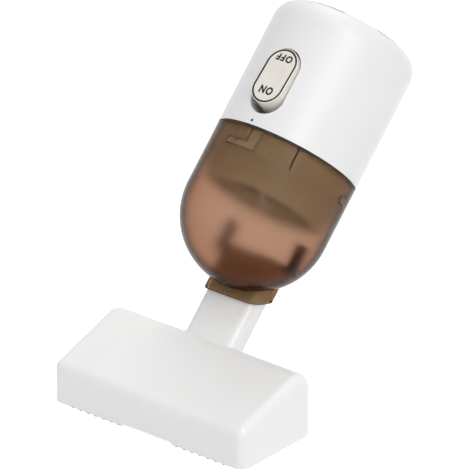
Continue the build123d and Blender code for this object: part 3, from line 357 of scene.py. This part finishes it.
# Bayonet collar and filter frame: pale grey polypropylene seen through the cup. The collar is
# screwed up to the housing, and the frame pushes into its lip by hand. The plastic is matt and
# faintly cloudy.
pale_pp, place = finish("pale_grey_polypropylene")
grain = put(pale_pp, "ShaderNodeTexNoise", {"Vector": place, "Scale": 1 / 0.0006, "Detail": 3.0})
drift = put(pale_pp, "ShaderNodeTexNoise", {"Vector": place, "Scale": 1 / 0.015, "Detail": 2.0})
tone = put(pale_pp, "ShaderNodeMix", {0: drift.outputs["Fac"], 6: linear("#b5c1af"), 7: linear("#c0cabc")},
           data_type="RGBA")
relief = put(pale_pp, "ShaderNodeBump", {
    "Height": grain.outputs["Fac"], "Strength": 0.1, "Distance": 0.00005})
skin = put(pale_pp, "ShaderNodeBsdfPrincipled", {
    "Base Color": tone.outputs[2], "Roughness": 0.5, "Normal": relief.outputs["Normal"], "IOR": 1.49})
put(pale_pp, "ShaderNodeOutputMaterial", {"Surface": skin.outputs["BSDF"]})
dress(pale_pp, "bayonet_collar", "filter_frame")

# Filter media: a pleated panel of filter paper, glued into the frame by its edge. Its fibres of
# 0.4 mm show as a soft mottle.
filter_paper, place = finish("pleated_filter_paper")
fibres = put(filter_paper, "ShaderNodeTexNoise", {"Vector": place, "Scale": 1 / 0.0004, "Detail": 5.0})
tone = put(filter_paper, "ShaderNodeMix", {
    0: fibres.outputs["Fac"], 6: linear("#b9b6ac"), 7: linear("#d6d3ca")}, data_type="RGBA")
relief = put(filter_paper, "ShaderNodeBump", {
    "Height": fibres.outputs["Fac"], "Strength": 0.3, "Distance": 0.0001})
skin = put(filter_paper, "ShaderNodeBsdfPrincipled", {
    "Base Color": tone.outputs[2], "Roughness": 0.95, "Normal": relief.outputs["Normal"]})
put(filter_paper, "ShaderNodeOutputMaterial", {"Surface": skin.outputs["BSDF"]})
dress(filter_paper, "filter_media")

# Dust cup: the brown see-through lower half, moulded in polycarbonate that is polished outside
# and frosted inside. It twists onto the collar's lugs.
# Frost blurs what lies deep in the cup and leaves what touches the wall sharp. Smoked plastic
# darkens with depth, so the wall is darkest where it is seen edge-on.
dome_middle = seam - body_axis * 0.0275
frosted_radius = 0.0292
polished_radius = 0.0308
smoked, place = finish("smoked_polycarbonate")
from_dome = put(smoked, "ShaderNodeVectorMath", {0: place, 1: dome_middle}, operation="SUBTRACT")
height = put(smoked, "ShaderNodeVectorMath", {0: from_dome.outputs[0], 1: body_axis}, operation="DOT_PRODUCT")
straight = put(smoked, "ShaderNodeMath", {0: height.outputs["Value"], 1: 0.0}, operation="MAXIMUM")
along = put(smoked, "ShaderNodeVectorMath", {0: body_axis, "Scale": straight.outputs[0]}, operation="SCALE")
across = put(smoked, "ShaderNodeVectorMath", {
    0: from_dome.outputs[0], 1: along.outputs[0]}, operation="SUBTRACT")
reach = put(smoked, "ShaderNodeVectorMath", {0: across.outputs[0]}, operation="LENGTH")
frost = put(smoked, "ShaderNodeTexNoise", {"Vector": place, "Scale": 1 / 0.006, "Detail": 3.0})
matt = put(smoked, "ShaderNodeMapRange", {"Value": frost.outputs["Fac"], "To Min": 0.66, "To Max": 0.78})
gloss = put(smoked, "ShaderNodeMapRange", {
    "Value": reach.outputs["Value"], "From Min": frosted_radius, "From Max": polished_radius,
    "To Min": matt.outputs["Result"], "To Max": 0.16})
edge = put(smoked, "ShaderNodeLayerWeight", {"Blend": 0.5})
edge = put(smoked, "ShaderNodeMapRange", {
    "Value": edge.outputs["Facing"], "From Min": 0.45, "From Max": 0.85}, interpolation_type="SMOOTHSTEP")
tone = put(smoked, "ShaderNodeMix", {0: edge.outputs["Result"], 6: linear("#cebbae"), 7: linear("#201812")},
           data_type="RGBA")
skin = put(smoked, "ShaderNodeBsdfPrincipled", {
    "Base Color": tone.outputs[2], "Roughness": gloss.outputs["Result"], "IOR": 1.1,
    "Transmission Weight": 1.0})
depth = put(smoked, "ShaderNodeVolumeAbsorption", {"Color": linear("#cf9f72"), "Density": 110.0})
put(smoked, "ShaderNodeOutputMaterial", {"Surface": skin.outputs["BSDF"], "Volume": depth.outputs["Volume"]})
dress(smoked, "dust_cup")

# Inlet duct: the socket for the brush head's tube, moulded in a deeper smoked polycarbonate and
# welded into the cup's dome. Flow marks every 8 mm cloud it a little.
# The socket outside the dome is tinted deeper than the walls inside, and the solid posts, 15.4 mm
# and more from the middle, deepest.
deep_smoked, place = finish("deep_smoked_polycarbonate")
clouds = put(deep_smoked, "ShaderNodeTexNoise", {"Vector": place, "Scale": 1 / 0.008, "Detail": 2.0})
gloss = put(deep_smoked, "ShaderNodeMapRange", {
    "Value": clouds.outputs["Fac"], "To Min": 0.18, "To Max": 0.3})
from_dome = put(deep_smoked, "ShaderNodeVectorMath", {0: place, 1: dome_middle}, operation="SUBTRACT")
reach = put(deep_smoked, "ShaderNodeVectorMath", {0: from_dome.outputs[0]}, operation="LENGTH")
outside = put(deep_smoked, "ShaderNodeMapRange", {
    "Value": reach.outputs["Value"], "From Min": 0.0300, "From Max": 0.0312})
tone = put(deep_smoked, "ShaderNodeMix", {
    0: outside.outputs["Result"], 6: linear("#f3f0ee"), 7: linear("#d1c8bc")}, data_type="RGBA")
side = put(deep_smoked, "ShaderNodeSeparateXYZ", {"Vector": place})
side = put(deep_smoked, "ShaderNodeMath", {0: side.outputs["X"]}, operation="ABSOLUTE")
post = put(deep_smoked, "ShaderNodeMapRange", {
    "Value": side.outputs[0], "From Min": 0.0150, "From Max": 0.0158})
tone = put(deep_smoked, "ShaderNodeMix", {
    0: post.outputs["Result"], 6: tone.outputs[2], 7: linear("#3a1508")}, data_type="RGBA")
skin = put(deep_smoked, "ShaderNodeBsdfPrincipled", {
    "Base Color": tone.outputs[2], "Roughness": gloss.outputs["Result"], "IOR": 1.1,
    "Transmission Weight": 1.0})
depth = put(deep_smoked, "ShaderNodeVolumeAbsorption", {"Color": linear("#c19d5c"), "Density": 500.0})
put(deep_smoked, "ShaderNodeOutputMaterial", {
    "Surface": skin.outputs["BSDF"], "Volume": depth.outputs["Volume"]})
dress(deep_smoked, "inlet_duct")

# Brush head: the wedge-shaped hood and its flat tube, one white ABS moulding that pushes into
# the duct. Its skin is smoother than the housing's, so its rounded edges catch brighter lines.
smooth_abs, place = finish("smooth_white_abs")
grain = put(smooth_abs, "ShaderNodeTexNoise", {"Vector": place, "Scale": 1 / 0.00045, "Detail": 3.0})
drift = put(smooth_abs, "ShaderNodeTexNoise", {"Vector": place, "Scale": 1 / 0.025, "Detail": 2.0})
# Painted light: the head's white is a little brighter than the housing's, though both are one ABS.
tone = put(smooth_abs, "ShaderNodeMix", {0: drift.outputs["Fac"], 6: linear("#efefef"), 7: linear("#f5f5f4")},
           data_type="RGBA")
gloss = put(smooth_abs, "ShaderNodeMapRange", {"Value": drift.outputs["Fac"], "To Min": 0.26, "To Max": 0.34})
relief = put(smooth_abs, "ShaderNodeBump", {
    "Height": grain.outputs["Fac"], "Strength": 0.04, "Distance": 0.00005})
skin = put(smooth_abs, "ShaderNodeBsdfPrincipled", {
    "Base Color": tone.outputs[2], "Roughness": gloss.outputs["Result"], "Normal": relief.outputs["Normal"],
    "IOR": 1.53})
put(smooth_abs, "ShaderNodeOutputMaterial", {"Surface": skin.outputs["BSDF"]})
dress(smooth_abs, "head_shell")

# Brush strips: four strips of nylon bristle in two rows, each with seven tufts stapled into a
# moulded bar that is pressed between the hood's ribs. Bristles are 0.2 mm thick and trimmed level.
nylon, place = finish("nylon_bristle")
shade = put(nylon, "ShaderNodeTexNoise", {"Vector": place, "Scale": 1 / 0.0007, "Detail": 2.0})
# Painted shade: the bristles are coloured near black, for the shade under the hood's edge.
tone = put(nylon, "ShaderNodeMix", {0: shade.outputs["Fac"], 6: linear("#161617"), 7: linear("#2e2e30")},
           data_type="RGBA")
skin = put(nylon, "ShaderNodeBsdfPrincipled", {"Base Color": tone.outputs[2], "Roughness": 0.4, "IOR": 1.53})
put(nylon, "ShaderNodeOutputMaterial", {"Surface": skin.outputs["BSDF"]})

bar_low, bar_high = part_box("front_brush_left")
hood_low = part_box("head_shell")[0]
bar_height = 0.004
bar_foot = bar_high.z - bar_height
tip_reach = (bar_low.y + bar_high.y) / 2 - hood_low.y - 0.00015
tip_spread = 0.0006
tuft_pitch = 0.00406
column_pitch = 0.00036
row_pitch = 0.00040
unevenness = 0.00008
bpy.ops.object.select_all(action="DESELECT")
bpy.ops.mesh.primitive_cone_add(vertices=5, radius1=0.00011, radius2=0.00015, depth=bar_foot,
                                location=(0, 0, bar_foot / 2))
strand = bpy.context.object
bpy.ops.object.transform_apply(location=True)
bpy.ops.object.mode_set(mode="EDIT")
for level in (bar_foot / 2, 0.0007, 0.0004, 0.0002):
    bpy.ops.mesh.select_all(action="SELECT")
    bpy.ops.mesh.bisect(plane_co=(0, 0, level), plane_no=(0, 0, 1))
bpy.ops.object.mode_set(mode="OBJECT")
strand.data.materials.append(nylon)

# One tuft: a bundle of 30 bristles that leave the bar upright. Pressed on the table, their tips
# bend out under the hood's edge, where their painted shade shows as short dark dashes.
random.seed(7)
bundle = []
for row in range(6):
    for column in range(5):
        bpy.ops.object.select_all(action="DESELECT")
        strand.select_set(True)
        bpy.context.view_layer.objects.active = strand
        bpy.ops.object.duplicate()
        bristle = bpy.context.object
        across = (column - 2) * column_pitch + random.uniform(-unevenness, unevenness)
        along = (row - 2.5) * row_pitch + random.uniform(-unevenness, unevenness)
        lean_x = across * -0.2 + random.uniform(-0.0001, 0.0001)
        lean_y = random.uniform(0, tip_spread) - tip_reach - along
        for corner in bristle.data.vertices:
            tip = 1 - corner.co.z / bar_foot
            corner.co.x += across + lean_x * tip ** 6
            corner.co.y += along + lean_y * tip ** 6
        bundle.append(bristle)
bpy.data.objects.remove(strand)
bpy.ops.object.select_all(action="DESELECT")
for bristle in bundle:
    bristle.select_set(True)
bpy.context.view_layer.objects.active = bundle[0]
bpy.ops.object.join()
tuft = bpy.context.object

# The bar, with bevelled edges and a tuft every 4.06 mm.
bpy.ops.object.select_all(action="DESELECT")
bpy.ops.mesh.primitive_cube_add(size=1.0, location=(0, 0, bar_foot + bar_height / 2))
bar = bpy.context.object
bar.scale = (bar_high.x - bar_low.x, bar_high.y - bar_low.y, bar_height)
bpy.ops.object.transform_apply(location=True, rotation=True, scale=True)
rounding = bar.modifiers.new("rounding", "BEVEL")
rounding.width = 0.0003
rounding.segments = 2
bpy.ops.object.modifier_apply(modifier="rounding")
bar.data.materials.append(smooth_abs)
tufts = []
for step in range(7):
    bpy.ops.object.select_all(action="DESELECT")
    tuft.select_set(True)
    bpy.context.view_layer.objects.active = tuft
    bpy.ops.object.duplicate()
    copy = bpy.context.object
    for corner in copy.data.vertices:
        corner.co.x += (step - 3) * tuft_pitch
    tufts.append(copy)
bpy.data.objects.remove(tuft)
bpy.ops.object.select_all(action="DESELECT")
for copy in tufts:
    copy.select_set(True)
bar.select_set(True)
bpy.context.view_layer.objects.active = bar
bpy.ops.object.join()
strip = bpy.context.object
for name in ("front_brush_left", "front_brush_right", "rear_brush_left", "rear_brush_right"):
    low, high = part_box(name)
    bpy.ops.object.select_all(action="DESELECT")
    strip.select_set(True)
    bpy.context.view_layer.objects.active = strip
    bpy.ops.object.duplicate()
    brush = bpy.context.object
    brush.name = name.replace("brush", "bristles")
    outward = 1 if name.startswith("front") else -1
    for corner in brush.data.vertices:
        corner.co.x = corner.co.x * outward + (low.x + high.x) / 2
        corner.co.y = corner.co.y * outward + (low.y + high.y) / 2
    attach(brush, "brush_head")
    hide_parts(name)
bpy.data.objects.remove(strip)

# Floor: a plain white table top that the brushes rest on. It keeps the soft shadow and reads as
# white to the camera, in gloss and through the cup.
bpy.ops.object.select_all(action="DESELECT")
bpy.ops.mesh.primitive_plane_add(size=12.0, location=(0, 0, 0))
floor = bpy.context.object
floor.name = "floor"
table, place = finish("white_table")
rays = put(table, "ShaderNodeLightPath")
seen = put(table, "ShaderNodeMath", {0: rays.outputs["Is Camera Ray"], 1: rays.outputs["Is Glossy Ray"]},
           operation="ADD")
seen = put(table, "ShaderNodeMath", {0: seen.outputs[0], 1: rays.outputs["Is Transmission Ray"]},
           operation="ADD", use_clamp=True)
white_level = 0.75
glow = put(table, "ShaderNodeMath", {0: seen.outputs[0], 1: white_level}, operation="MULTIPLY")
skin = put(table, "ShaderNodeBsdfPrincipled", {
    "Base Color": linear("#f2f2f2"), "Roughness": 0.9, "Emission Color": (1, 1, 1, 1),
    "Emission Strength": glow.outputs[0]})
put(table, "ShaderNodeOutputMaterial", {"Surface": skin.outputs["BSDF"]})
floor.data.materials.append(table)
floor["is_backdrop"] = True

# Studio light: an even white surround and three large soft boxes, high on the right, overhead and
# behind on the left.
world = bpy.data.worlds.new("studio")
bpy.context.scene.world = world
world.use_nodes = True
world.node_tree.nodes.clear()
rays = put(world, "ShaderNodeLightPath")
seen = put(world, "ShaderNodeMath", {0: rays.outputs["Is Camera Ray"], 1: rays.outputs["Is Glossy Ray"]},
           operation="ADD")
seen = put(world, "ShaderNodeMath", {0: seen.outputs[0], 1: rays.outputs["Is Transmission Ray"]},
           operation="ADD", use_clamp=True)
level = put(world, "ShaderNodeMapRange", {"Value": seen.outputs[0], "To Min": 0.46, "To Max": 1.0})
sky = put(world, "ShaderNodeBackground", {"Color": (1, 1, 1, 1), "Strength": level.outputs["Result"]})
put(world, "ShaderNodeOutputWorld", {"Surface": sky.outputs["Background"]})
box_size = 1.2
for name, spot, power in (("key", (1.6, -0.9, 1.9), 23.0), ("top", (0.5, -0.2, 2.5), 12.0),
                          ("back", (-0.8, 1.6, 2.0), 12.0)):
    lamp = bpy.data.lights.new(name, "AREA")
    lamp.size = box_size
    lamp.energy = power
    holder = bpy.data.objects.new(name, lamp)
    bpy.context.scene.collection.objects.link(holder)
    holder.location = spot
    holder.rotation_euler = (Vector((0, 0, 0.07)) - Vector(spot)).to_track_quat("-Z", "Y").to_euler()

# Camera: a long lens from the front right and above, on the photograph's 470 by 470 frame. A
# distance of 10000 pixels to the picture plane keeps the edges almost parallel.
target = seam + Vector((0, -0.032886, -0.0232))
azimuth, elevation, distance = math.radians(39.5), math.radians(26.0), 4.02
back = Vector((math.sin(azimuth) * math.cos(elevation), -math.cos(azimuth) * math.cos(elevation),
               math.sin(elevation)))
lens = bpy.data.cameras.new("photo_view")
picture_pixels = 470
focal_pixels = 10000
lens.sensor_width = 36.0
lens.lens = focal_pixels / picture_pixels * 36
lens.clip_end = 50.0
camera = bpy.data.objects.new("photo_view", lens)
bpy.context.scene.collection.objects.link(camera)
camera.location = target + back * distance
camera.rotation_euler = (-back).to_track_quat("-Z", "Y").to_euler()
bpy.context.scene.camera = camera
bpy.context.scene.view_settings.view_transform = "Standard"

low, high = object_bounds()
